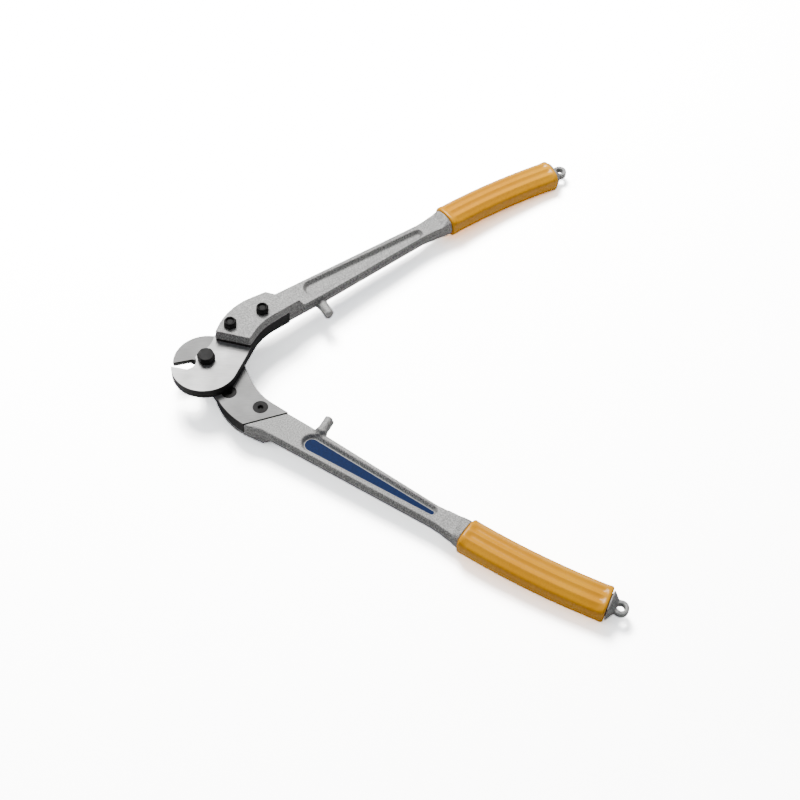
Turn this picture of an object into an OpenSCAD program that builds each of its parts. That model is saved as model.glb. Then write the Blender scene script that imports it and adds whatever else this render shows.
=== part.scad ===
// Two-handed rescue cutter with a lap joint. Both levers are the same part: the lower one is
// the upper one turned over about the tool's long axis. Origin: pivot axis, on the plane where
// the two blades meet. +X runs along the tool towards the grips, +Z towards the bolt head.

/* [Levers] */
// Angle that each lever stands open from closed, as drawn
rest_angle = 28; // [0:1:43]
// Half of the running gap between the two blades
blade_gap = 0.05; // [0.02:0.01:0.1]

/* [Blades] */
// Radius of the round blade head
head_r = 29; // [28:0.5:31]
// Thickness of the blade head
head_t = 9.3; // [8:0.1:9.5]
// Thickness of the blade shank under the handle plate
shank_t = 12; // [10.5:0.1:13]
// Radius of the steel left around the pivot, on the open side of the jaw
boss_r = 10.1; // [9.5:0.1:10.5]
// Radius of the rounded throat at the root of the jaw
throat_r = 4.6; // [4:0.1:5]
// Height of the flat land of the cutting edge
land_h = 1.5; // [0.5:0.1:3]
// Width of the ground bevel of the cutting edge, seen from above
bevel_w = 3.7; // [1:0.1:5]

/* [Handles] */
// Thickness of the handle arm
arm_t = 11.5; // [10:0.5:13]
// Height of the plate's outer face above the blade plane
plate_top = 21.5; // [19:0.5:24]
// Depth of the long pocket in each face of the arm
pocket_d = 4.2; // [1:0.1:4.5]
// Diameter of the stop lug
lug_d = 10; // [7:0.5:10]
// Gap left between a lug's end and the tool's axis when the tool is closed
lug_gap = 0.15; // [0.1:0.05:0.5]

/* [Grips] */
// Length of the grip
grip_l = 126; // [110:1:130]
// Width of the grip across the tool's plane
grip_w = 29; // [26:0.5:32]
// Thickness of the grip
grip_t = 22.5; // [20:0.5:25]
// Height of the grip's lengthwise ribs
rib_h = 0.45; // [0:0.05:0.8]
// Outer radius of the lanyard eye
eye_r = 6.6; // [5.5:0.1:7.5]
// Radius of the hole in the lanyard eye
eye_bore_r = 3.3; // [2.5:0.1:3.5]
// Thickness of the lanyard eye
eye_t = 6; // [5:0.5:8]

/* [Fasteners] */
// Shank diameter of the blade screws
screw_d = 6; // [5:0.5:6]
// Head diameter of the countersunk blade screws
screw_head_d = 13; // [11:0.1:13.4]
// Width across flats of the self-locking nuts
nut_af = 10.4; // [9:0.1:11]
// Diameter of the pivot bolt's shank
pivot_d = 10; // [8:0.5:10]
// Width across flats of the pivot bolt's head
pivot_af = 13.5; // [13:0.5:15]
// Height of the pivot bolt's head
pivot_head_h = 7.4; // [6:0.1:10]

/* [Hidden] */
$fn = 64;
eps = 0.01;
// A height clear of everything
above = 30;

steel = [0.78, 0.78, 0.79];
black_steel = [0.10, 0.10, 0.11];
aluminium = [0.66, 0.66, 0.65];
yellow = [0.93, 0.62, 0.08];
blue = [0.10, 0.18, 0.38];

// All the plans below are drawn on the upper lever, turned to where it stands when closed.
head_c = [-3.6, -4.6];
throat_c = [-13.5, 3.6];
edge_angle = -41.6;
edge_dir = [cos(edge_angle), sin(edge_angle)];
edge_side = [sin(edge_angle), -cos(edge_angle)];
edge_sunk = 0.15;
edge_root = throat_c + (throat_r - edge_sunk) * edge_side;
// The cutting edge runs from the throat out to the rim of the head
rim_off = edge_root - head_c;
rim_b = rim_off * edge_dir;
edge_l = rim_b + sqrt(rim_b * rim_b - rim_off * rim_off + head_r * head_r);
tip = edge_root - edge_l * edge_dir;
tip_angle = atan2(tip[1] - head_c[1], tip[0] - head_c[0]);

bevel_slope = bevel_w / (head_t - land_h);
// The round bevel at the throat lies this far back from the pivot
bevel_back = 3.6;
bevel_c = throat_c - bevel_back * edge_dir;
seat_reach = 100;
seat_corner = [25.5, 30];

// Hollow behind the boss, and the two long curves of the shank
hollow_r = 23;
hollow_dir = 94.8;
hollow_c = (boss_r + hollow_r) * [cos(hollow_dir), sin(hollow_dir)];
inner_r = 55;
inner_start = [43, -3.5];
inner_turn = [40, 8];
outer_r = 71.5;
outer_start = [24.4, 25.3];
outer_turn = [37.7, 7.7];
seam_play = 0.1;
shank_corner = [17.5, 21.2];
hollow_start = -30;
boss_end = 160;
head_end = 312;

// Handle plan
plate_end_outer = [16.3, 15.6];
plate_end_inner = [38.9, -5.8];
plate_outer_r = 59.4;
plate_outer_start = [22.3, 21.4];
plate_outer_turn = [42, 2];
step_outer = [74, 36.8];
inner_dir = 9;
seam_l = 15.4;
step_l = 26.5;
step_run = 5;
ramp_shift = 0.8;
arm_bend = [125, 16.8];
arm_end_inner = [260, 40.3];
arm_end_outer = [260, 55.2];
arm_bottom = 1;
arm_top = arm_bottom + arm_t;
arm_mid = arm_bottom + arm_t / 2;
pocket_near = [118.5, 29];
pocket_near_r = 9;
// The pocket narrows towards its floor
pocket_slope = 2.2;
pocket_far = [236, 43.3];
pocket_far_r = 4.8;
label_margin = 0.5;
label_t = 0.3;
lug_x = 120;
lug_z = 2.2;
lug_root_y = 17;
arm_start_inner = [95, 12.8];
neck_end_outer = 51;
collar_root = [238, 36.6];
collar_root_w = 16.2;
collar_neck = [260, 37.8];
collar_neck_w = 19.8;
collar_grow = 0.8;
end_plate_w = grip_w - 4.5;
end_plate_t = grip_t - 2;

// The grip follows a shallow arc that bends inwards
grip_start = [268.5, 49];
grip_start_dir = 8.4;
grip_r = 670;
grip_c = grip_start + grip_r * [sin(grip_start_dir), -cos(grip_start_dir)];
collar_play = 0.2;
tang_w = 15;
tang_t = 10;
tang_play = 0.1;
eye_c = [403.5, 54.5];
eye_root = 1.3;
end_scale = 0.88;
end_cap = 2;
ribs = 16;

screw_inner_at = [31, 15.7];
screw_outer_at = [62.7, 17.3];
screw_play = 0.15;
screw_end = 26.2;
screw_set = 0.15;
csk_h = 3.4;
nut_h = 6.2;
nut_collar_h = 1.5;
socket_af = 4;
socket_depth = 2.2;
bolt_play = 0.05;
thread_play = 0.02;
pivot_thread_d = 8;
// The cone that takes the corners off the pivot bolt's head
head_cone_low = 2.7;
head_cone_top = 0.8;
shank_clear = 0.3;
thread_out = 2;
washer_r = 8;
spring_r = 7;
ring_play = 0.1;
nut_collar_in = 0.3;
pivot_nut_af = pivot_af - 0.5;
pivot_nut_collar_h = 2;
washer_t = 1.6;
spring_t = 1.2;
pivot_nut_h = 8;

function arc_angle(length) = length / grip_r * 180 / PI;
function grip_heading(length) = grip_start_dir - arc_angle(length);
function grip_at(length) = grip_c + grip_r * [-sin(grip_heading(length)), cos(grip_heading(length))];
function arc(c, r, from, to, steps) = [for (i = [0:steps])
    let (a = from + (to - from) * i / steps) c + r * [cos(a), sin(a)]];
// A curve that starts at p and turns clockwise from one heading to another
function right_turn(p, r, turn, steps) =
    arc(p + r * [sin(turn[0]), -cos(turn[0])], r, turn[0] + 90, turn[1] + 90, steps);
function last(list) = list[len(list) - 1];
// Outline around two circles, the first one to the left
function around(c1, r1, c2, r2, steps) =
    let (d = c2 - c1, heading = atan2(d[1], d[0]), lean = acos((r1 - r2) / norm(d)))
    concat(arc(c1, r1, heading + lean, heading + 360 - lean, steps),
        arc(c2, r2, heading - lean, heading + lean, steps));
// Rounded oval, fuller than an ellipse, with lengthwise ribs on it
function oval_point(w, t, a, rib) =
    let (c = cos(a), s = sin(a), p = 2.6,
        r = pow(pow(abs(c) / (w / 2), p) + pow(abs(s) / (t / 2), p), -1 / p) - rib)
    [r * c, r * s];
function oval(w, t, rib, steps) = [for (i = [0:steps - 1])
    let (a = 360 * i / steps) oval_point(w, t, a, rib * (1 - cos(ribs * a)) / 2)];

inner_curve = right_turn(inner_start, inner_r, inner_turn, 10);
outer_curve = right_turn(outer_start, outer_r, outer_turn, 12);
plate_curve = right_turn(plate_outer_start, plate_outer_r, plate_outer_turn, 12);
inner_line = [cos(inner_dir), sin(inner_dir)];
outer_line = (arm_end_outer - step_outer) / norm(arm_end_outer - step_outer);
// The blade ends along a slanted seam across the neck
seam_inner = last(inner_curve) + seam_l * inner_line;
seam_outer = last(outer_curve);
step_inner = last(inner_curve) + step_l * inner_line;

blade_plan = concat(
    arc(head_c, head_r, tip_angle, head_end, 40),
    inner_curve,
    [seam_inner],
    [for (i = [len(outer_curve) - 1:-1:0]) outer_curve[i]],
    [shank_corner],
    arc(hollow_c, hollow_r, hollow_start, hollow_dir - 180, 10),
    arc([0, 0], boss_r, hollow_dir, boss_end, 10),
    [throat_c, edge_root]);

plate_plan = concat([plate_end_outer, plate_end_inner], inner_curve,
    [step_inner + step_run * inner_line, step_outer + step_run * outer_line, step_outer],
    [for (i = [len(plate_curve) - 1:-1:0]) plate_curve[i]]);
neck_plan = [seam_inner + [seam_play, 0], arm_bend, step_outer + neck_end_outer * outer_line,
    step_outer, seam_outer + [seam_play, 0]];
// The nose of the neck slants from the plate's outline out to the corner of the blade
nose_inside = [80, 25];
nose_foot = 0.5;
nose_sunk = [0, -0.3];
nose_plan = [seam_outer + [seam_play, 0], step_outer + nose_sunk, nose_inside];
nose_top_plan = [last(plate_curve) + nose_sunk, step_outer + nose_sunk, nose_inside];
arm_plan = [arm_start_inner, arm_bend, arm_end_inner, arm_end_outer, step_outer];

module upper() { rotate([0, 0, rest_angle]) children(); }
module lower() { rotate([180, 0, 0]) upper() children(); }
module slab(points, bottom, top) {
    translate([0, 0, bottom]) linear_extrude(height = top - bottom) polygon(points);
}
module rod(at, r, bottom, top) {
    translate([at[0], at[1], bottom]) cylinder(r = r, h = top - bottom);
}
module hex(at, af, bottom, top) {
    translate([at[0], at[1], bottom]) cylinder(r = af / 2 / cos(30), h = top - bottom, $fn = 6);
}
// A plan in the arm's side view, swept along the grip's arc from one length to another
module swept(points, from, to) {
    translate([grip_c[0], grip_c[1], arm_mid])
        rotate([0, 0, 90 + grip_heading(to)])
            rotate_extrude(angle = arc_angle(to - from), $fn = 720)
                translate([grip_r, 0]) polygon(points);
}
// A thin oval plate across the grip's arc
module oval_plate(w, t, at, thickness) {
    p = grip_at(at);
    translate([p[0], p[1], arm_mid]) rotate([0, 0, grip_heading(at)])
        rotate([90, 0, 90]) linear_extrude(height = thickness) polygon(oval(w, t, 0, 32));
}

// The blade is thick only where the handle plate lies on it
module seat() {
    slab([plate_end_outer, plate_end_inner, [seat_reach, plate_end_inner[1]],
        [seat_reach, seat_reach], seat_corner, plate_outer_start], head_t - 1, shank_t + 1);
}
module blade() {
    difference() {
        union() {
            slab(blade_plan, blade_gap, head_t);
            intersection() {
                slab(blade_plan, blade_gap + 1, shank_t);
                seat();
            }
        }
        rod(throat_c, throat_r, -1, above);
        // Bevel along the straight edge and round into the throat
        translate([tip[0], tip[1], 0]) rotate([0, 0, edge_angle]) bevel_cut(edge_l);
        translate([bevel_c[0], bevel_c[1], land_h - 1])
            cylinder(r1 = throat_r - bevel_slope, r2 = throat_r + bevel_w + bevel_slope,
                h = head_t - land_h + 2);
        rod([0, 0], pivot_d / 2 + bolt_play, -1, above);
        screw_holes();
    }
}
module bevel_cut(length) {
    before = 12;
    reach = 12;
    // The extrusion runs along the edge; its outline is a section across it
    rotate([90, 0, 90]) translate([0, 0, -before]) linear_extrude(height = length + before)
        polygon([[bevel_slope, land_h - 1], [-bevel_w - bevel_slope, head_t + 1],
            [reach, head_t + 1], [reach, land_h - 1]]);
}
module screw_holes() {
    for (at = [screw_inner_at, screw_outer_at]) {
        rod(at, screw_d / 2 + screw_play, -1, plate_top + 1);
        translate([at[0], at[1], blade_gap - 0.5])
            cylinder(r1 = screw_head_d / 2 + screw_play + 0.5, r2 = 1, h = csk_h + 2.5);
    }
}

module handle() {
    difference() {
        union() {
            slab(plate_plan, shank_t + eps, plate_top);
            slab(neck_plan, arm_bottom, shank_t + nose_foot);
            hull() {
                slab(nose_plan, shank_t + eps, shank_t + nose_foot);
                slab(nose_top_plan, plate_top - nose_foot, plate_top - eps);
            }
            slab(arm_plan, arm_bottom, arm_top);
            lug();
            collar();
            tang();
            eye_end();
        }
        ramp_cut();
        screw_holes();
        pocket(arm_top, 1);
        pocket(arm_bottom, -1);
        rod(eye_c, eye_bore_r, -1, above);
    }
}
// Outline of the pocket, drawn in by an inset
function pocket_plan(inset) =
    around(pocket_near, pocket_near_r - inset, pocket_far, pocket_far_r - inset, 16);
// Long pocket that narrows from one face of the arm down to its floor
module pocket(face, out) {
    skin = 0.01;
    floor_z = face - out * pocket_d;
    hull() {
        slab(pocket_plan(0), face, face + skin);
        slab(pocket_plan(pocket_slope), floor_z, floor_z + skin);
    }
    slab(pocket_plan(0), min(face, face + out), max(face, face + out) + skin);
}
// Takes the neck down to the arm's height along a slanted ramp
module ramp_cut() {
    heading = atan2(step_inner[1] - step_outer[1], step_inner[0] - step_outer[0]);
    drop = plate_top - arm_top;
    translate([step_outer[0] + ramp_shift, step_outer[1], arm_top]) rotate([0, 0, heading])
        rotate([90, 0, 90]) translate([0, 0, -30]) linear_extrude(height = 90)
            polygon([[-step_run / drop, drop + 1], [step_run, 0], [80, 0], [80, drop + 1]]);
}
// Stop lug, with a swollen root that ends inside the arm
module lug() {
    r = lug_d / 2;
    chamfer = 0.5;
    swell = 1.2;
    root = lug_root_y - lug_gap;
    translate([lug_x, lug_gap, lug_z]) rotate([-90, 0, 0]) rotate_extrude()
        polygon([[0, 0], [r - chamfer, 0], [r, chamfer], [r, root - 5],
            [r + swell, root - 0.5], [r - 0.5, root + 1.5], [r - 2.5, root + 3], [0, root + 3]]);
}
// The arm widens to the oval that the grip butts against
module collar() {
    hull() {
        translate([collar_root[0], collar_root[1], arm_bottom])
            cube([1, collar_root_w, arm_t]);
        translate([collar_neck[0], collar_neck[1], arm_bottom - collar_grow])
            cube([1, collar_neck_w, arm_t + 2 * collar_grow]);
    }
    hull() {
        translate([collar_neck[0], collar_neck[1], arm_bottom - collar_grow])
            cube([1, collar_neck_w, arm_t + 2 * collar_grow]);
        oval_plate(end_plate_w, end_plate_t, -collar_play - 1.2, 1.2);
    }
}
module tang() {
    box = [[-tang_w / 2, -tang_t / 2], [tang_w / 2, -tang_t / 2],
        [tang_w / 2, tang_t / 2], [-tang_w / 2, tang_t / 2]];
    swept(box, -2, grip_l + 2);
}
// Past the grip the end tapers to the flat ring of the lanyard eye
module eye_end() {
    hull() {
        oval_plate(end_plate_w, end_plate_t, grip_l + collar_play, 1);
        translate([eye_c[0] - eye_bore_r - eye_root, eye_c[1] - eye_r + 1, arm_mid - eye_t / 2])
            cube([1, 2 * eye_r - 2, eye_t]);
    }
    rod(eye_c, eye_r, arm_mid - eye_t / 2, arm_mid + eye_t / 2);
}

module grip() {
    cavity = [[-tang_w / 2 - tang_play, -tang_t / 2 - tang_play],
        [tang_w / 2 + tang_play, -tang_t / 2 - tang_play],
        [tang_w / 2 + tang_play, tang_t / 2 + tang_play],
        [-tang_w / 2 - tang_play, tang_t / 2 + tang_play]];
    body = oval(grip_w, grip_t, rib_h, 96);
    end = oval(grip_w * end_scale, grip_t * end_scale, 0, 96);
    difference() {
        union() {
            swept(body, end_cap, grip_l - end_cap);
            swept(end, 0, grip_l);
        }
        swept(cavity, -1, grip_l + 1);
    }
}

module label() {
    floor_z = arm_bottom + pocket_d;
    slab(pocket_plan(pocket_slope + label_margin), floor_z - label_t, floor_z);
}
// Countersunk screw: the head is set just under the blade's face
module screw(at) {
    head_z = blade_gap + screw_set;
    difference() {
        union() {
            translate([at[0], at[1], head_z])
                cylinder(r1 = screw_head_d / 2, r2 = screw_d / 2, h = csk_h - screw_set);
            rod(at, screw_d / 2, head_z + 1, screw_end);
        }
        hex(at, socket_af, head_z - 1, head_z + socket_depth);
    }
}
module nut(at) {
    difference() {
        union() {
            hex(at, nut_af, plate_top, plate_top + nut_h - nut_collar_h);
            rod(at, nut_af / 2 - nut_collar_in, plate_top, plate_top + nut_h);
        }
        rod(at, screw_d / 2 + thread_play, plate_top - 1, plate_top + nut_h + 1);
    }
}

module pivot_bolt() color(black_steel) {
    under = -head_t - washer_t - spring_t;
    intersection() {
        hex([0, 0], pivot_af, head_t, head_t + pivot_head_h);
        translate([0, 0, head_t]) cylinder(r1 = pivot_af / 2 + head_cone_low,
            r2 = pivot_af / 2 + head_cone_top, h = pivot_head_h);
    }
    rod([0, 0], pivot_d / 2, shank_clear - head_t, head_t);
    rod([0, 0], pivot_thread_d / 2, under - pivot_nut_h - thread_out, 0);
}
module pivot_ring(r, bottom, top) {
    difference() {
        rod([0, 0], r, bottom, top);
        rod([0, 0], pivot_thread_d / 2 + ring_play, bottom - 1, top + 1);
    }
}
module pivot_washer() color(black_steel) pivot_ring(washer_r, -head_t - washer_t, -head_t);
module pivot_spring_washer() color(black_steel)
    pivot_ring(spring_r, -head_t - washer_t - spring_t, -head_t - washer_t);
module pivot_nut() color(black_steel) {
    top = -head_t - washer_t - spring_t;
    difference() {
        union() {
            hex([0, 0], pivot_nut_af, top - pivot_nut_h + pivot_nut_collar_h, top);
            rod([0, 0], pivot_nut_af / 2 - nut_collar_in, top - pivot_nut_h, top);
        }
        rod([0, 0], pivot_thread_d / 2 + thread_play, top - pivot_nut_h - 1, top + 1);
    }
}

module lower_handle() color(aluminium) lower() handle();
module upper_handle() color(aluminium) upper() handle();
module lower_grip() color(yellow) lower() grip();
module upper_grip() color(yellow) upper() grip();
module lower_blade() color(steel) lower() blade();
module upper_blade() color(steel) upper() blade();
module lower_label() color(blue) lower() label();
module upper_label() color(blue) upper() label();
module lower_inner_screw() color(black_steel) lower() screw(screw_inner_at);
module lower_outer_screw() color(black_steel) lower() screw(screw_outer_at);
module upper_inner_screw() color(black_steel) upper() screw(screw_inner_at);
module upper_outer_screw() color(black_steel) upper() screw(screw_outer_at);
module lower_inner_nut() color(black_steel) lower() nut(screw_inner_at);
module lower_outer_nut() color(black_steel) lower() nut(screw_outer_at);
module upper_inner_nut() color(black_steel) upper() nut(screw_inner_at);
module upper_outer_nut() color(black_steel) upper() nut(screw_outer_at);

lower_handle();
upper_handle();
lower_grip();
upper_grip();
lower_blade();
upper_blade();
lower_label();
upper_label();
lower_inner_screw();
lower_outer_screw();
upper_inner_screw();
upper_outer_screw();
lower_inner_nut();
lower_outer_nut();
upper_inner_nut();
upper_outer_nut();
pivot_bolt();
pivot_washer();
pivot_spring_washer();
pivot_nut();
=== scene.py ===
import math

import bmesh
import bpy
import numpy as np
from mathutils import Matrix, Vector


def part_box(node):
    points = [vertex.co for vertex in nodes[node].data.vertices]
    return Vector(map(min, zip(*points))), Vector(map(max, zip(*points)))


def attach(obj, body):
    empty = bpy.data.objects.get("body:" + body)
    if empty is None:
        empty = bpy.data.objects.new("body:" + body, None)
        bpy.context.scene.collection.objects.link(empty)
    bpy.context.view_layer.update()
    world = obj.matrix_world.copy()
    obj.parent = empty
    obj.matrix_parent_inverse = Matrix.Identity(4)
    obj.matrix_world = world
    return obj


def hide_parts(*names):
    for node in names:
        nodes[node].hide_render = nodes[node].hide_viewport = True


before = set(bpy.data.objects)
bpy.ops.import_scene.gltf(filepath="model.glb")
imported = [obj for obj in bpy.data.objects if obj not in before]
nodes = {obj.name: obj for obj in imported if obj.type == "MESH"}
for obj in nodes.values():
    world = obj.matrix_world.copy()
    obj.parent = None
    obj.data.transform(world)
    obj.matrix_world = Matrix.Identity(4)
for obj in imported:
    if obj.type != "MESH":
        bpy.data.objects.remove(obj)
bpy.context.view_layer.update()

MM = 0.001
WELD = 0.002 * MM

# Edges sharper than these, in degrees, are shaded as edges
BLADE_SMOOTH = 50
GRIP_SMOOTH = 50
LABEL_SMOOTH = 25
FASTENER_SMOOTH = 28

# ---------------------------------------------------------------- camera

CAMERA_AZIMUTH = 4.43
CAMERA_ELEVATION = 52.22
CAMERA_ROLL = 3.3
CAMERA_DISTANCE = 1.16
CAMERA_TARGET = Vector((0.1658, -0.0377, 0.0))
CAMERA_LENS = 61.1
CAMERA_SENSOR = 36.0
CAMERA_CLIP = (0.01, 20.0)


def make_camera():
    """A camera turned about the pivot's frame: azimuth from +Y towards +X, then up, then rolled."""
    azimuth = math.radians(CAMERA_AZIMUTH)
    elevation = math.radians(CAMERA_ELEVATION)
    roll = math.radians(CAMERA_ROLL)
    ahead = Vector((
        math.sin(azimuth) * math.cos(elevation),
        math.cos(azimuth) * math.cos(elevation),
        -math.sin(elevation),
    ))
    level_right = Vector((math.cos(azimuth), -math.sin(azimuth), 0.0))
    level_up = level_right.cross(ahead)
    right = level_right * math.cos(roll) + level_up * math.sin(roll)
    up = level_up * math.cos(roll) - level_right * math.sin(roll)
    data = bpy.data.cameras.new("camera")
    data.lens = CAMERA_LENS
    data.sensor_width = CAMERA_SENSOR
    data.clip_start, data.clip_end = CAMERA_CLIP
    camera = bpy.data.objects.new("camera", data)
    turn = Matrix((right, up, -ahead)).transposed()
    place = CAMERA_TARGET - ahead * CAMERA_DISTANCE
    camera.matrix_world = Matrix.Translation(place) @ turn.to_4x4()
    bpy.context.scene.collection.objects.link(camera)
    bpy.context.scene.camera = camera


# ---------------------------------------------------------------- sizes shared with the CAD part

# Both levers are one part: the lower one is the upper one turned over about the long axis.
REST_DEGREES = 28.0
UPPER = Matrix.Rotation(math.radians(REST_DEGREES), 4, "Z")
LEVERS = {
    "upper": UPPER,
    "lower": Matrix.Rotation(math.pi, 4, "X") @ UPPER,
}

# These are in the frame of the upper lever turned shut: X along the tool, Z up
ARM_MID = 6.75 * MM
ARM_START = 80 * MM
ARM_END = 262 * MM
PLATE_SEAT = 12 * MM
POCKET_NEAR = Vector((118.5, 29.0)) * MM
POCKET_NEAR_RADIUS = 9.0 * MM
POCKET_FAR = Vector((236.0, 43.3)) * MM
POCKET_FAR_RADIUS = 4.8 * MM
POCKET_FLOOR = 5.2 * MM
GRIP_START = Vector((268.5, 49.0)) * MM
GRIP_HEADING = math.radians(8.4)
GRIP_RADIUS = 670 * MM
GRIP_LENGTH = 126 * MM
GRIP_WIDTH = 29 * MM
GRIP_THICKNESS = 22.5 * MM


# ---------------------------------------------------------------- building help

def add_object(name, mesh, side, node, materials):
    """Links a finished mesh as a piece that rides on its lever and stands for a CAD node."""
    for material in materials:
        mesh.materials.append(material)
    piece = bpy.data.objects.new(name, mesh)
    bpy.context.scene.collection.objects.link(piece)
    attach(piece, ("lower" if side == "pivot" else side) + "_lever")
    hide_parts(node)
    return piece


def finish_mesh(name, bm, matrix, sharp_angle):
    """Turns a bmesh into a mesh in the shared frame, smooth up to sharp_angle degrees."""
    bmesh.ops.recalc_face_normals(bm, faces=bm.faces[:])
    mesh = bpy.data.meshes.new(name)
    bm.to_mesh(mesh)
    bm.free()
    mesh.transform(matrix)
    mesh.shade_smooth()
    mesh.set_sharp_from_angle(angle=math.radians(sharp_angle))
    return mesh


def keep_flats(piece):
    """Weighs shading normals by face area, so that broken edges leave the flats looking flat."""
    weighted = piece.modifiers.new("flats", "WEIGHTED_NORMAL")
    weighted.keep_sharp = True


def skin_rings(rings, closed=False):
    """A bmesh of rings joined with quads, closed onto its first ring or capped at its ends."""
    bm = bmesh.new()
    made = [[bm.verts.new(point) for point in ring] for ring in rings]
    count = len(made[0])
    pairs = list(zip(made, made[1:]))
    if closed:
        pairs.append((made[-1], made[0]))
    for one, two in pairs:
        for i in range(count):
            j = (i + 1) % count
            bm.faces.new((one[i], one[j], two[j], two[i]))
    if not closed:
        bm.faces.new(made[0])
        bm.faces.new(made[-1])
    return bm


def baked(piece):
    """The mesh that a piece has with its modifiers applied."""
    graph = bpy.context.evaluated_depsgraph_get()
    return bpy.data.meshes.new_from_object(piece.evaluated_get(graph))


def copied_solid(node):
    """A welded copy of a CAD node's mesh, as a bmesh."""
    bm = bmesh.new()
    bm.from_mesh(nodes[node].data)
    bmesh.ops.remove_doubles(bm, verts=bm.verts[:], dist=WELD)
    return bm


def eased(share):
    """Goes from 0 to 1 with a level start and end."""
    return share * share * (3 - 2 * share)


def aimed(place, normal):
    """The matrix of something at place, its Z along normal."""
    return Matrix.Translation(place) @ normal.to_track_quat("Z", "Y").to_matrix().to_4x4()


# ---------------------------------------------------------------- materials

class Surface:
    """A principled material with object coordinates, and short ways to add procedural detail."""

    def __init__(self, name):
        self.material = bpy.data.materials.new(name)
        self.material.use_nodes = True
        self.tree = self.material.node_tree
        self.shader = self.tree.nodes["Principled BSDF"]
        self.coordinates = self.tree.nodes.new("ShaderNodeTexCoord").outputs["Object"]

    def link(self, source, target):
        self.tree.links.new(source, target)

    def noise(self, scale, detail=3.0, roughness=0.6, stretch=(1, 1, 1)):
        """Noise with this many features per metre, longer where stretch is smaller."""
        mapping = self.tree.nodes.new("ShaderNodeMapping")
        mapping.inputs["Scale"].default_value = stretch
        self.link(self.coordinates, mapping.inputs["Vector"])
        texture = self.tree.nodes.new("ShaderNodeTexNoise")
        texture.inputs["Scale"].default_value = scale
        texture.inputs["Detail"].default_value = detail
        texture.inputs["Roughness"].default_value = roughness
        self.link(mapping.outputs["Vector"], texture.inputs["Vector"])
        return texture.outputs["Fac"]

    def spots(self, scale):
        """Round pits with this many per metre."""
        texture = self.tree.nodes.new("ShaderNodeTexVoronoi")
        texture.inputs["Scale"].default_value = scale
        self.link(self.coordinates, texture.inputs["Vector"])
        return texture.outputs["Distance"]

    def edges(self):
        """High on convex edges, where the casting wears, and low in corners, where it is used to
        paint shade.
        """
        return self.tree.nodes.new("ShaderNodeNewGeometry").outputs["Pointiness"]

    def ramp(self, source, stops):
        """A colour ramp over (position, colour) stops."""
        ramp = self.tree.nodes.new("ShaderNodeValToRGB")
        marks = ramp.color_ramp.elements
        while len(marks) < len(stops):
            marks.new(0.5)
        for mark, (position, colour) in zip(marks, stops):
            mark.position = position
            mark.color = (*colour, 1.0)
        self.link(source, ramp.inputs["Fac"])
        return ramp.outputs["Color"]

    def span(self, source, low, high, start=0.3, end=0.7):
        """Maps noise between start and end to a number between low and high."""
        span = self.tree.nodes.new("ShaderNodeMapRange")
        span.inputs["From Min"].default_value = start
        span.inputs["From Max"].default_value = end
        span.inputs["To Min"].default_value = low
        span.inputs["To Max"].default_value = high
        self.link(source, span.inputs["Value"])
        return span.outputs["Result"]

    def times(self, share, one, two):
        """One colour darkened by another, to this share."""
        mix = self.tree.nodes.new("ShaderNodeMix")
        mix.data_type = "RGBA"
        mix.blend_type = "MULTIPLY"
        mix.inputs["Factor"].default_value = share
        for socket, source in (("A", one), ("B", two)):
            target = next(s for s in mix.inputs if s.name == socket and s.type == "RGBA")
            self.link(source, target)
        return next(s for s in mix.outputs if s.type == "RGBA")

    def colour(self, source):
        self.link(source, self.shader.inputs["Base Color"])

    def roughness(self, source):
        self.link(source, self.shader.inputs["Roughness"])

    def bump(self, height, distance, strength=1.0):
        """Adds a bump layer on top of those already there. distance is in metres."""
        bump = self.tree.nodes.new("ShaderNodeBump")
        bump.inputs["Strength"].default_value = strength
        bump.inputs["Distance"].default_value = distance
        self.link(height, bump.inputs["Height"])
        before = self.shader.inputs["Normal"].links
        if before:
            self.link(before[0].from_socket, bump.inputs["Normal"])
        self.link(bump.outputs["Normal"], self.shader.inputs["Normal"])

    def set(self, **values):
        """Sets uniform values straight on the shader's sockets."""
        for name, value in values.items():
            self.shader.inputs[name.replace("_", " ")].default_value = value


def cast_aluminium():
    """Sandblasted casting: a fine bright grain over soft blotches, brighter on its worn edges and
    darker in its corners by painted shade.
    """
    s = Surface("cast_aluminium")
    grain = s.noise(1000, 2.0, 0.7)
    blotches = s.noise(70, 3.0, 0.5)
    grained = s.ramp(grain, [
        (0.36, (0.19, 0.19, 0.19)),
        (0.52, (0.37, 0.37, 0.365)),
        (0.66, (0.62, 0.62, 0.61)),
    ])
    clouds = s.ramp(blotches, [(0.35, (0.80, 0.80, 0.81)), (0.65, (1, 1, 1))])
    # Pointiness ramp: worn convex edges lighter, concave corners darkened to 0.72 as painted shade.
    edge_wear_and_corner_shade = s.ramp(s.edges(), [
        (0.46, (0.72, 0.72, 0.72)),
        (0.50, (1.0, 1.0, 1.0)),
        (0.58, (1.45, 1.45, 1.45)),
    ])
    s.colour(s.times(0.9, s.times(0.35, grained, clouds), edge_wear_and_corner_shade))
    s.roughness(s.span(grain, 0.48, 0.68))
    s.bump(grain, 0.08 * MM, 0.6)
    s.bump(s.spots(620), 0.06 * MM, 0.35)
    s.set(Metallic=0.2)
    return s.material


def ground_steel(name, dark, light, metallic):
    """Flat-ground steel between two greys, with very fine grinding marks along X."""
    s = Surface(name)
    marks = s.noise(260, 2.0, 0.6, (0.35, 6.0, 1.0))
    clouds = s.noise(45, 3.0, 0.5)
    base = s.ramp(marks, [(0.30, (dark, dark, dark * 1.005)), (0.70, (light, light, light))])
    shade = s.ramp(clouds, [(0.35, (0.84, 0.84, 0.85)), (0.65, (1, 1, 1))])
    s.colour(s.times(0.5, base, shade))
    s.roughness(s.span(clouds, 0.42, 0.54))
    s.bump(marks, 0.02 * MM, 0.30)
    s.set(Metallic=metallic, Specular_IOR_Level=0.3)
    return s.material


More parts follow.
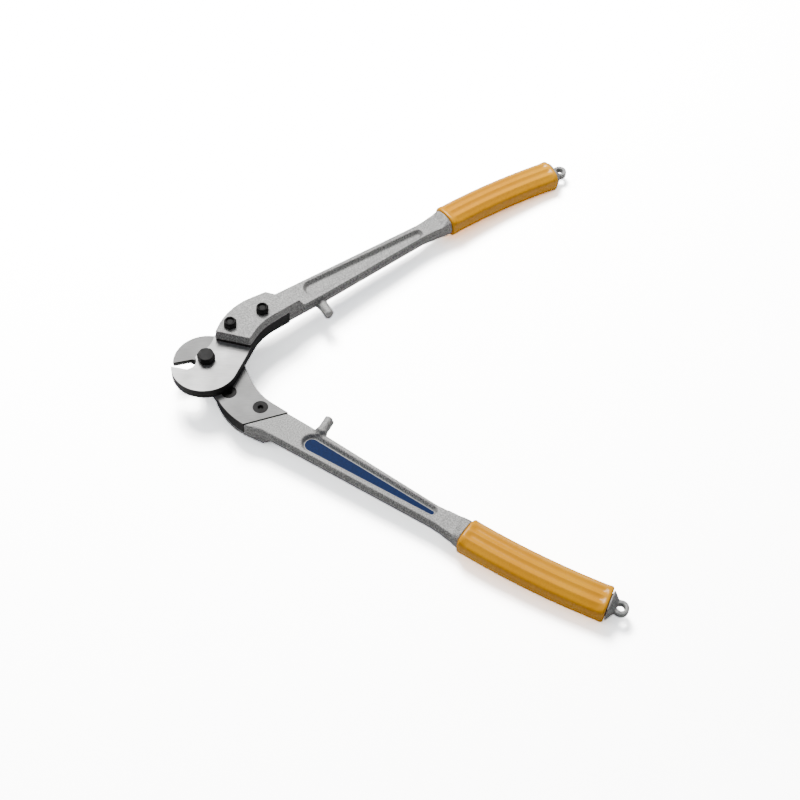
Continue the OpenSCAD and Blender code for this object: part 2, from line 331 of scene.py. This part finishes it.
def black_oxide(name, dark, light, gloss):
    """Blackened steel between two dark greys, a little uneven in hue."""
    s = Surface(name)
    patches = s.noise(160, 3.0, 0.6)
    s.colour(s.ramp(patches, [
        (0.35, (dark, dark, dark * 1.08)),
        (0.65, (light, light * 0.97, light)),
    ]))
    s.roughness(s.span(patches, 0.42, 0.58))
    s.bump(s.noise(900, 2.0, 0.6), 0.03 * MM, 0.4)
    s.set(Specular_IOR_Level=gloss)
    return s.material


def grip_plastic():
    """Satin moulded plastic with a faint orange-peel skin and a few dull scuffs."""
    s = Surface("grip_plastic")
    tone = s.noise(30, 2.0, 0.5)
    base = s.ramp(tone, [(0.35, (0.92, 0.385, 0.0)), (0.65, (0.97, 0.43, 0.0))])
    streaks = s.noise(210, 4.0, 0.7, (0.25, 1.0, 1.0))
    scuffs = s.ramp(streaks, [(0.58, (1, 1, 1)), (0.75, (0.88, 0.84, 0.80))])
    s.colour(s.times(0.6, base, scuffs))
    s.roughness(s.span(s.noise(120, 3.0, 0.6), 0.22, 0.32))
    s.bump(s.noise(700, 2.0, 0.5), 0.035 * MM, 0.35)
    s.set(IOR=1.46, Specular_IOR_Level=0.4)
    return s.material


def label_navy():
    """Printed foil: a deep blue with a little unevenness in the ink."""
    s = Surface("label_navy")
    ink = s.noise(420, 3.0, 0.6)
    s.colour(s.ramp(ink, [(0.35, (0.004, 0.016, 0.072)), (0.65, (0.008, 0.025, 0.098))]))
    s.roughness(s.span(ink, 0.50, 0.62))
    s.bump(s.noise(1300, 2.0, 0.6), 0.015 * MM, 0.3)
    s.set(Specular_IOR_Level=0.06)
    return s.material


def label_rim():
    """The bare foil that shows round the printed field."""
    s = Surface("label_rim")
    foil = s.noise(900, 3.0, 0.6)
    s.colour(s.ramp(foil, [(0.35, (0.30, 0.30, 0.30)), (0.65, (0.42, 0.42, 0.41))]))
    s.roughness(s.span(foil, 0.45, 0.60))
    s.bump(foil, 0.02 * MM, 0.3)
    s.set(Metallic=0.2)
    return s.material


# ---------------------------------------------------------------- handles

CAST_VOXEL = 0.65 * MM
CAST_SMOOTHING = 7
ARM_FADE = 8 * MM
# A normal's height where a surface starts to count as a side, and where it fully does
SIDE_START = 0.85
SIDE_FULL = 0.35
DRAFT = 0.13
PARTING_RIDGE = 0.9 * MM
PARTING_WIDTH = 1.2 * MM
POCKET_GUARD = 0.6 * MM
NECK_DRAFT = 0.10
NECK_DRAFT_TOP = 5 * MM
CAST_UNEVEN = 0.10 * MM
CAST_UNEVEN_SIZE = 3.5 * MM


def soft_step(low, high, values):
    """Goes from 0 at low to 1 at high, for an array."""
    return eased(np.clip((values - low) / (high - low), 0, 1))


def pocket_distance(xy):
    """Signed distance in plan to the pocket's outline, negative inside it."""
    start = np.array(POCKET_NEAR)
    run = np.array(POCKET_FAR) - start
    length = np.linalg.norm(run)
    lean = (POCKET_NEAR_RADIUS - POCKET_FAR_RADIUS) / length
    along = (xy - start) @ run / length
    across = np.abs((xy - start) @ np.array((-run[1], run[0])) / length)
    share = np.clip((along + across * lean / math.sqrt(1 - lean * lean)) / length, 0, 1)
    radius = POCKET_NEAR_RADIUS + share * (POCKET_FAR_RADIUS - POCKET_NEAR_RADIUS)
    return np.hypot(along - share * length, across) - radius


def shape_casting(mesh, lever):
    """Gives the casting its draft and its parting ridge, by moving vertices along their sides."""
    turn = np.array(lever.to_3x3())
    count = len(mesh.vertices)
    place = np.empty(count * 3)
    facing = np.empty(count * 3)
    mesh.vertices.foreach_get("co", place)
    mesh.vertex_normals.foreach_get("vector", facing)
    place = place.reshape(-1, 3) @ turn
    facing = facing.reshape(-1, 3) @ turn
    x, y, z = place.T
    side = soft_step(SIDE_START, SIDE_FULL, np.abs(facing[:, 2]))

    on_arm = soft_step(ARM_START, ARM_START + ARM_FADE, x)
    on_arm *= soft_step(ARM_END, ARM_END - ARM_FADE, x)
    in_pocket = pocket_distance(place[:, :2]) < POCKET_GUARD
    ridge = PARTING_RIDGE * np.exp(-((z - ARM_MID) / PARTING_WIDTH) ** 2)
    arm = on_arm * side * (ridge - DRAFT * np.abs(z - ARM_MID)) * ~in_pocket
    on_neck = soft_step(ARM_START, ARM_START - ARM_FADE, x)
    neck = on_neck * side * NECK_DRAFT * (PLATE_SEAT + NECK_DRAFT_TOP - z) * (z > PLATE_SEAT)
    move = arm + neck
    flat = facing.copy()
    flat[:, 2] = 0
    flat /= np.maximum(np.linalg.norm(flat, axis=1), 1e-6)[:, None]
    place += flat * move[:, None]
    mesh.vertices.foreach_set("co", (place @ turn.T).ravel())
    mesh.update()


def build_handle(side, material):
    """The CAD handle remeshed and smoothed into a casting with soft edges and uneven skin."""
    bm = copied_solid(side + "_handle")
    mesh = bpy.data.meshes.new("handle_source")
    bm.to_mesh(mesh)
    bm.free()
    source = bpy.data.objects.new("handle_source", mesh)
    bpy.context.scene.collection.objects.link(source)
    remesh = source.modifiers.new("remesh", "REMESH")
    remesh.mode = "VOXEL"
    remesh.voxel_size = CAST_VOXEL
    smooth = source.modifiers.new("smooth", "SMOOTH")
    smooth.factor = 0.5
    smooth.iterations = CAST_SMOOTHING
    cast = baked(source)
    bpy.data.objects.remove(source)
    shape_casting(cast, LEVERS[side])
    cast.shade_smooth()
    piece = add_object(
        side + "_handle_casting", cast, side, side + "_handle", [material],
    )
    uneven = bpy.data.textures.new(side + "_uneven", "CLOUDS")
    uneven.noise_scale = CAST_UNEVEN_SIZE
    displace = piece.modifiers.new("uneven", "DISPLACE")
    displace.texture = uneven
    displace.texture_coords = "LOCAL"
    displace.strength = CAST_UNEVEN
    displace.mid_level = 0.5


# ---------------------------------------------------------------- blades

BLADE_EDGE = 0.25 * MM
BLADE_SHARP = math.radians(25)
OUTER_FACE = 9.3 * MM
FACE_REACH = 0.4 * MM
FACE_LEVEL = 0.6


def blade_finish(face):
    """0 on the bright outer face, 1 on the satin face that meets the other lever, 2 elsewhere."""
    height = abs(face.calc_center_median().z)
    if abs(face.normal.z) < FACE_LEVEL:
        return 2
    if abs(height - OUTER_FACE) < FACE_REACH:
        return 0
    return 1 if height < FACE_REACH else 2


def build_blade(side, materials):
    """The exact blade with its flat faces dissolved, its edges broken and a finish per face."""
    bm = copied_solid(side + "_blade")
    bmesh.ops.dissolve_limit(
        bm, angle_limit=math.radians(0.5), verts=bm.verts[:], edges=bm.edges[:],
    )
    paired = [e for e in bm.edges if len(e.link_faces) == 2]
    sharp = [e for e in paired if e.calc_face_angle(0) > BLADE_SHARP]
    bmesh.ops.bevel(
        bm, geom=sharp, offset=BLADE_EDGE, segments=2, profile=0.6, affect="EDGES",
        clamp_overlap=True, offset_type="OFFSET",
    )
    for face in bm.faces:
        face.material_index = blade_finish(face)
    name = side + "_blade_forging"
    mesh = finish_mesh(name, bm, Matrix.Identity(4), BLADE_SMOOTH)
    keep_flats(add_object(name, mesh, side, side + "_blade", materials))


# ---------------------------------------------------------------- grips

GRIP_POINTS = 144
GRIP_STATIONS = 72
GRIP_SQUARENESS = 3.0
GRIP_GAP = 0.35 * MM
GRIP_END_LENGTH = 2.0 * MM
GRIP_END_INSET = 1.4 * MM
GRIP_END_STEPS = 6
RIB_PITCH = 7.8 * MM
RIB_DEPTH = 1.6 * MM
RIB_ROUNDNESS = 0.6
RIB_FADE_START = 3.0 * MM
RIB_FADE_END = 7.0 * MM
TANG_WIDTH = 15.8 * MM
TANG_THICKNESS = 10.8 * MM
TANG_SQUARENESS = 8.0


def super_oval(width, thickness, angle, power):
    """The point of a squarish oval in this direction."""
    c, s = math.cos(angle), math.sin(angle)
    reach = (abs(2 * c / width) ** power + abs(2 * s / thickness) ** power) ** (-1 / power)
    return reach * c, reach * s


def grip_frame(length):
    """Centre and heading of the grip's arc, at a length along it."""
    heading = GRIP_HEADING - length / GRIP_RADIUS
    centre = GRIP_START + GRIP_RADIUS * Vector((math.sin(GRIP_HEADING), -math.cos(GRIP_HEADING)))
    return centre + GRIP_RADIUS * Vector((-math.sin(heading), math.cos(heading))), heading


def section_ring(length, width, thickness, power, rib=0.0):
    """A squarish oval across the grip's arc. rib is the share of the ridges' full depth."""
    centre, heading = grip_frame(length)
    ring = []
    for i in range(GRIP_POINTS):
        across, up = super_oval(width, thickness, 2 * math.pi * i / GRIP_POINTS, power)
        groove = (0.5 - 0.5 * math.cos(2 * math.pi * across / RIB_PITCH)) ** RIB_ROUNDNESS
        height = abs(2 * up / GRIP_THICKNESS)
        up -= math.copysign(rib * RIB_DEPTH * groove * height ** 2, up)
        place = centre + across * Vector((-math.sin(heading), math.cos(heading)))
        ring.append(Vector((place.x, place.y, ARM_MID + up)))
    return ring


def grip_ring(length, inset, rib):
    """One section of the grip, with three ridges on each wide face."""
    width, thickness = GRIP_WIDTH - 2 * inset, GRIP_THICKNESS - 2 * inset
    return section_ring(length, width, thickness, GRIP_SQUARENESS, rib)


def tang_ring(length):
    """One section of the hollow that takes the handle's tang."""
    return section_ring(length, TANG_WIDTH, TANG_THICKNESS, TANG_SQUARENESS)


def build_grip(side, material):
    """A sleeve lofted along the arc, rounded at both ends, hollow for the tang."""
    start = []
    for i in range(GRIP_END_STEPS + 1):
        turn = math.pi / 2 * i / GRIP_END_STEPS
        length = GRIP_END_LENGTH * (1 - math.cos(turn))
        start.append((length, GRIP_END_INSET * (1 - math.sin(turn))))
    straight = GRIP_LENGTH - 2 * GRIP_END_LENGTH
    lengths = [GRIP_END_LENGTH + straight * i / GRIP_STATIONS for i in range(1, GRIP_STATIONS)]
    stations = start + [(length, 0.0) for length in lengths]
    stations += [(GRIP_LENGTH - length, inset) for length, inset in reversed(start)]
    shrink = (GRIP_LENGTH - 2 * GRIP_GAP) / GRIP_LENGTH
    stations = [(GRIP_GAP + length * shrink, inset) for length, inset in stations]
    rings = [tang_ring(GRIP_GAP)]
    for length, inset in stations:
        from_end = min(length, GRIP_LENGTH - length)
        share = (from_end - RIB_FADE_START) / (RIB_FADE_END - RIB_FADE_START)
        rings.append(grip_ring(length, inset, eased(max(0.0, min(1.0, share)))))
    rings.append(tang_ring(GRIP_LENGTH - GRIP_GAP))
    name = side + "_grip_sleeve"
    mesh = finish_mesh(name, skin_rings(rings, closed=True), LEVERS[side], GRIP_SMOOTH)
    add_object(name, mesh, side, side + "_grip", [material])


# ---------------------------------------------------------------- labels

LABEL_MARGIN = 2.3 * MM
LABEL_RIM = 0.6 * MM
LABEL_THICKNESS = 0.3 * MM
LABEL_EMBOSS = 0.06 * MM
LABEL_BORDER = 1.2 * MM
LABEL_END_STEPS = 20


def label_outline(margin):
    """The pocket's outline, drawn in by a margin: two round ends joined by straight sides."""
    run = POCKET_FAR - POCKET_NEAR
    heading = math.atan2(run.y, run.x)
    lean = math.acos((POCKET_NEAR_RADIUS - POCKET_FAR_RADIUS) / run.length)
    outline = []
    for centre, radius, first, last in (
        (POCKET_NEAR, POCKET_NEAR_RADIUS, heading + lean, heading + 2 * math.pi - lean),
        (POCKET_FAR, POCKET_FAR_RADIUS, heading - lean, heading + lean),
    ):
        for i in range(LABEL_END_STEPS + 1):
            angle = first + (last - first) * i / LABEL_END_STEPS
            outline.append(centre + (radius - margin) * Vector((math.cos(angle), math.sin(angle))))
    return outline


def build_label(side, field_material, rim_material):
    """A foil plate on the pocket's floor: a bare raised rim round a blank printed field.

    The pocket opens downwards in the upper lever's frame, so the rim's face is the lowest
    level, and the field is pressed in from it.
    """
    face = POCKET_FLOOR - LABEL_THICKNESS
    field = face + LABEL_EMBOSS
    levels = (
        (0.0, POCKET_FLOOR), (0.0, face), (LABEL_RIM * 0.85, face),
        (LABEL_RIM, field), (LABEL_RIM + LABEL_BORDER, field),
    )
    rings = []
    for inset, height in levels:
        outline = label_outline(LABEL_MARGIN + inset)
        rings.append([Vector((p.x, p.y, height)) for p in outline])
    bm = skin_rings(rings)
    for f in bm.faces:
        inner = all(abs(v.co.z - field) < 1e-7 for v in f.verts)
        f.material_index = 0 if inner else 1
    name = side + "_label_foil"
    mesh = finish_mesh(name, bm, LEVERS[side], LABEL_SMOOTH)
    add_object(name, mesh, side, side + "_label", [field_material, rim_material])


# ---------------------------------------------------------------- fasteners

TURN_STEPS = 96
CHAMFER_STEPS = 5
# Parts of a hexagon's corner radius and of half its flats, where a chamfer starts and ends
CORNER_REACH = 1.002
CHAMFER_REACH = 0.97


def turned(rings, closed=False):
    """A turned part: rings of (radius, height, across flats), cut by the flats if given."""
    points = []
    for radius, height, flats in rings:
        ring = []
        for i in range(TURN_STEPS):
            angle = 2 * math.pi * i / TURN_STEPS
            reach = radius
            if flats:
                from_flat = angle % (math.pi / 3) - math.pi / 6
                reach = min(radius, flats / 2 / math.cos(from_flat))
            ring.append(Vector((reach * math.cos(angle), reach * math.sin(angle), height)))
        points.append(ring)
    return skin_rings(points, closed)


def chamfered(flats, low, high, chamfer):
    """Rings of a hexagon whose corners are turned off at its foot and its top."""
    corner = flats / 2 / math.cos(math.pi / 6) * CORNER_REACH
    face = flats / 2 * CHAMFER_REACH
    steps = [i / CHAMFER_STEPS for i in range(CHAMFER_STEPS + 1)]
    foot = [(face + (corner - face) * t, low + chamfer * t, flats) for t in steps]
    top = [(face + (corner - face) * t, high - chamfer * t, flats) for t in reversed(steps)]
    return foot + top


def add_fastener(side, node, piece_name, bm, spin, material):
    """Puts a turned part on its CAD node's axis. The lower lever's stand upside down."""
    low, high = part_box(node)
    centre = (low + high) / 2
    over = Matrix.Rotation(math.pi, 4, "X") if side == "lower" else Matrix.Identity(4)
    turn = over @ Matrix.Rotation(math.radians(spin), 4, "Z")
    matrix = Matrix.Translation((centre.x, centre.y, 0)) @ turn
    mesh = finish_mesh(piece_name, bm, matrix, FASTENER_SMOOTH)
    keep_flats(add_object(piece_name, mesh, side, node, [material]))


SCREW_RADIUS = 3.0 * MM
SCREW_HEAD_RADIUS = 6.5 * MM
SCREW_FACE = 0.2 * MM
SCREW_END = 26.2 * MM
SOCKET_FLATS = 4.0 * MM
SOCKET_CORNER = SOCKET_FLATS * 0.6
SOCKET_RIM = 2.9 * MM
THREAD_PLAY = 0.03 * MM
NUT_FLATS = 10.4 * MM
NUT_FOOT = 21.5 * MM
NUT_HEX = 4.7 * MM
NUT_HEIGHT = 6.2 * MM


def blade_screw():
    """Countersunk screw with a hexagon socket, its face just under the blade's."""
    foot = SCREW_FACE
    return turned([
        (1.1 * MM, foot + 2.4 * MM, None),
        (SOCKET_CORNER, foot + 2.2 * MM, SOCKET_FLATS),
        (SOCKET_CORNER, foot + 0.35 * MM, SOCKET_FLATS),
        (SOCKET_RIM - 0.3 * MM, foot, None),
        (SOCKET_RIM, foot, None),
        (SCREW_HEAD_RADIUS - 0.25 * MM, foot, None),
        (SCREW_HEAD_RADIUS, foot + 0.2 * MM, None),
        (SCREW_HEAD_RADIUS, foot + 0.45 * MM, None),
        (SCREW_RADIUS, foot + 3.4 * MM, None),
        (SCREW_RADIUS, SCREW_END - 0.6 * MM, None),
        (SCREW_RADIUS - 0.5 * MM, SCREW_END, None),
    ])


def lock_nut():
    """Tall self-locking nut: a chamfered hexagon with a rolled collar over its locking ring."""
    rings = chamfered(NUT_FLATS, NUT_FOOT, NUT_FOOT + NUT_HEX, 0.75 * MM)
    top = NUT_FOOT + NUT_HEIGHT
    collar = NUT_FOOT + NUT_HEX
    bore = SCREW_RADIUS + THREAD_PLAY
    rings += [
        (4.95 * MM, collar + 0.05 * MM, None),
        (4.90 * MM, collar + 0.8 * MM, None),
        (4.75 * MM, top - 0.3 * MM, None),
        (4.50 * MM, top - 0.05 * MM, None),
        (4.20 * MM, top, None),
        (3.80 * MM, top - 0.10 * MM, None),
        (3.60 * MM, top - 0.4 * MM, None),
        (3.50 * MM, top - 1.6 * MM, None),
        (bore, top - 1.7 * MM, None),
        (bore, NUT_FOOT, None),
    ]
    return turned(rings, closed=True)


PIVOT_FLATS = 13.5 * MM
PIVOT_SEAT = 9.3 * MM
PIVOT_HEAD = 7.4 * MM
PIVOT_RADIUS = 5.0 * MM
PIVOT_THREAD = 4.0 * MM
PIVOT_SHANK_END = -9.0 * MM
WASHER_END = -10.9 * MM
SPRING_END = -12.1 * MM
PIVOT_NUT_HEIGHT = 8.0 * MM
PIVOT_NUT_COLLAR = 2.0 * MM
PIVOT_THREAD_OUT = 2.0 * MM
PIVOT_COLLAR_RADIUS = 6.3 * MM
RING_BORE = PIVOT_THREAD + 0.1 * MM
WASHER_RADIUS = 8.0 * MM
WASHER_EDGE = 0.25 * MM
SPRING_RADIUS = 7.0 * MM
SPRING_EDGE = 0.1 * MM
SPRING_GAP = math.radians(14)
SPRING_OFFSET = 0.1 * MM
SPRING_STEPS = 60


def pivot_screw():
    """Hexagon bolt with a turned washer face under its head and a reduced thread."""
    foot = PIVOT_SEAT
    end = SPRING_END - PIVOT_NUT_HEIGHT - PIVOT_THREAD_OUT
    rings = [
        (PIVOT_THREAD - 0.7 * MM, end, None),
        (PIVOT_THREAD, end + 0.7 * MM, None),
        (PIVOT_THREAD, PIVOT_SHANK_END, None),
        (PIVOT_RADIUS, PIVOT_SHANK_END + 0.3 * MM, None),
        (PIVOT_RADIUS, foot, None),
        (PIVOT_COLLAR_RADIUS, foot, None),
        (PIVOT_COLLAR_RADIUS, foot + 0.35 * MM, None),
    ]
    rings += chamfered(PIVOT_FLATS, foot + 0.4 * MM, foot + PIVOT_HEAD, 1.0 * MM)
    return turned(rings)


def pivot_lock_nut():
    """Self-locking nut that hangs from the spring washer, its collar down."""
    flats = PIVOT_FLATS - 0.5 * MM
    bore = PIVOT_THREAD + THREAD_PLAY
    foot = SPRING_END
    end = foot - PIVOT_NUT_HEIGHT
    collar = end + PIVOT_NUT_COLLAR
    rings = [(r, foot + collar - z, f) for r, z, f in chamfered(flats, collar, foot, 0.9 * MM)]
    rings += [
        (5.9 * MM, collar, None),
        (5.85 * MM, collar - 1.1 * MM, None),
        (5.5 * MM, collar - 1.7 * MM, None),
        (5.1 * MM, end, None),
        (4.7 * MM, end + 0.1 * MM, None),
        (bore, end + 0.7 * MM, None),
        (bore, foot, None),
    ]
    return turned(rings, closed=True)


def plain_washer():
    """A flat ring with broken edges."""
    inner, outer, edge = RING_BORE, WASHER_RADIUS, WASHER_EDGE
    top, low = -PIVOT_SEAT, WASHER_END
    return turned([
        (inner, top - edge, None),
        (inner + edge, top, None),
        (outer - edge, top, None),
        (outer, top - edge, None),
        (outer, low + edge, None),
        (outer - edge, low, None),
        (inner + edge, low, None),
        (inner, low + edge, None),
    ], closed=True)


def spring_washer():
    """A split ring whose ends stand a little apart."""
    top, low = WASHER_END - SPRING_OFFSET / 2, SPRING_END + SPRING_OFFSET / 2
    section = (
        (RING_BORE, top),
        (SPRING_RADIUS, top - SPRING_EDGE),
        (SPRING_RADIUS, low + SPRING_EDGE),
        (RING_BORE, low),
    )
    rings = []
    for i in range(SPRING_STEPS + 1):
        share = i / SPRING_STEPS
        angle = SPRING_GAP / 2 + (2 * math.pi - SPRING_GAP) * share
        lift = SPRING_OFFSET * (share - 0.5)
        out = Vector((math.cos(angle), math.sin(angle), 0))
        rings.append([out * r + Vector((0, 0, z + lift)) for r, z in section])
    return skin_rings(rings)


# ---------------------------------------------------------------- the studio

FLOOR_SIZE = 4.0
FLOOR_GAP = 0.2 * MM
GRIP_REST = 20 * MM
FLOOR_BRIGHT = 10.0
FLOOR_BOUNCE = 0.60
KEY_PLACE = Vector((-0.14, 0.93, 1.50))
KEY_SIZE = 0.9
KEY_POWER = 42.0
FILL_PLACE = Vector((-1.3, -0.5, 1.2))
FILL_SIZE = 1.0
FILL_POWER = 3.0
KEY_COLOUR = (1.0, 0.99, 0.97)
FILL_COLOUR = (0.95, 0.97, 1.0)
SPARK_SIZE = 0.14
SPARK_POWER = 7.0
LIGHT_TARGET = Vector((0.16, 0.0, 0.0))
WORLD_LOW = (0.05, (0.10, 0.105, 0.115, 1))
WORLD_HIGH = (0.9, (0.95, 0.98, 1.0, 1))
WORLD_STRENGTH = 0.30


def rest_plane():
    """The floor under the tool, which lies on its lower nuts' ends and on both grips."""
    nut_low, nut_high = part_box("lower_inner_nut")
    outer_low, outer_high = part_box("lower_outer_nut")
    screw_low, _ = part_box("lower_outer_screw")
    near = (nut_low + nut_high + outer_low + outer_high) / 4
    near.z = min(nut_low.z, outer_low.z, screw_low.z)
    points = [near]
    for node in ("lower_grip", "upper_grip"):
        low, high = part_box(node)
        points.append(Vector((high.x - GRIP_REST, (low.y + high.y) / 2, low.z)))
    normal = (points[2] - points[0]).cross(points[1] - points[0]).normalized()
    if normal.z < 0:
        normal = -normal
    return points[0], normal


def make_floor():
    """A plain pale floor. The lens sees it bright; what it throws back on the tool is kept low."""
    place, normal = rest_plane()
    mesh = bpy.data.meshes.new("floor")
    half = FLOOR_SIZE / 2
    corners = [(-half, -half, 0), (half, -half, 0), (half, half, 0), (-half, half, 0)]
    mesh.from_pydata(corners, [], [(0, 1, 2, 3)])
    floor = bpy.data.objects.new("floor", mesh)
    floor.matrix_world = aimed(place - normal * FLOOR_GAP, normal)
    bpy.context.scene.collection.objects.link(floor)
    material = bpy.data.materials.new("floor")
    material.use_nodes = True
    tree = material.node_tree
    tree.nodes.clear()
    bright = tree.nodes.new("ShaderNodeBsdfDiffuse")
    bounce = tree.nodes.new("ShaderNodeBsdfDiffuse")
    for shader, grey in ((bright, FLOOR_BRIGHT), (bounce, FLOOR_BOUNCE)):
        shader.inputs["Color"].default_value = (grey, grey, grey, 1)
    path = tree.nodes.new("ShaderNodeLightPath")
    mix = tree.nodes.new("ShaderNodeMixShader")
    output = tree.nodes.new("ShaderNodeOutputMaterial")
    tree.links.new(path.outputs["Is Camera Ray"], mix.inputs["Fac"])
    tree.links.new(bounce.outputs["BSDF"], mix.inputs[1])
    tree.links.new(bright.outputs["BSDF"], mix.inputs[2])
    tree.links.new(mix.outputs["Shader"], output.inputs["Surface"])
    mesh.materials.append(material)


def add_softbox(name, place, size, power, colour):
    """A round soft light aimed at the middle of the tool."""
    data = bpy.data.lights.new(name, "AREA")
    data.shape = "DISK"
    data.size = size
    data.energy = power
    data.color = colour
    light = bpy.data.objects.new(name, data)
    light.matrix_world = aimed(place, place - LIGHT_TARGET)
    bpy.context.scene.collection.objects.link(light)


def make_world():
    """Soft light that is bright overhead and dim towards the horizon."""
    world = bpy.data.worlds.new("world")
    bpy.context.scene.world = world
    world.use_nodes = True
    tree = world.node_tree
    coordinates = tree.nodes.new("ShaderNodeTexCoord")
    split = tree.nodes.new("ShaderNodeSeparateXYZ")
    ramp = tree.nodes.new("ShaderNodeValToRGB")
    for mark, (position, colour) in zip(ramp.color_ramp.elements, (WORLD_LOW, WORLD_HIGH)):
        mark.position = position
        mark.color = colour
    tree.links.new(coordinates.outputs["Generated"], split.inputs["Vector"])
    tree.links.new(split.outputs["Z"], ramp.inputs["Fac"])
    tree.links.new(ramp.outputs["Color"], tree.nodes["Background"].inputs["Color"])
    tree.nodes["Background"].inputs["Strength"].default_value = WORLD_STRENGTH


def make_studio():
    make_floor()
    make_world()
    add_softbox("key_light", KEY_PLACE, KEY_SIZE, KEY_POWER, KEY_COLOUR)
    add_softbox("spark_light", KEY_PLACE, SPARK_SIZE, SPARK_POWER, KEY_COLOUR)
    add_softbox("fill_light", FILL_PLACE, FILL_SIZE, FILL_POWER, FILL_COLOUR)


# ---------------------------------------------------------------- the object

SPRING_SPIN = 200


def build_object():
    """Every piece of both levers, then the pivot's, which ride on the lower lever."""
    aluminium = cast_aluminium()
    blade_finishes = [
        ground_steel("ground_outer_face", 0.33, 0.41, 0.6),
        ground_steel("ground_meeting_face", 0.19, 0.25, 0.2),
        black_oxide("blackened_side", 0.008, 0.018, 0.25),
    ]
    black = black_oxide("black_oxide", 0.008, 0.018, 0.10)
    plastic = grip_plastic()
    navy = label_navy()
    foil = label_rim()
    for side in LEVERS:
        build_handle(side, aluminium)
        build_blade(side, blade_finishes)
        build_grip(side, plastic)
        build_label(side, navy, foil)
        for spot in ("inner", "outer"):
            screw, nut = f"{side}_{spot}_screw", f"{side}_{spot}_nut"
            add_fastener(side, screw, screw + "_socket", blade_screw(), REST_DEGREES, black)
            add_fastener(side, nut, nut + "_locking", lock_nut(), REST_DEGREES, black)
    add_fastener("pivot", "pivot_bolt", "pivot_bolt_hexagon", pivot_screw(), 0, black)
    add_fastener("pivot", "pivot_washer", "pivot_washer_plain", plain_washer(), 0, black)
    add_fastener(
        "pivot", "pivot_spring_washer", "pivot_washer_split", spring_washer(), SPRING_SPIN, black,
    )
    add_fastener("pivot", "pivot_nut", "pivot_nut_locking", pivot_lock_nut(), 0, black)


make_camera()
make_studio()
build_object()
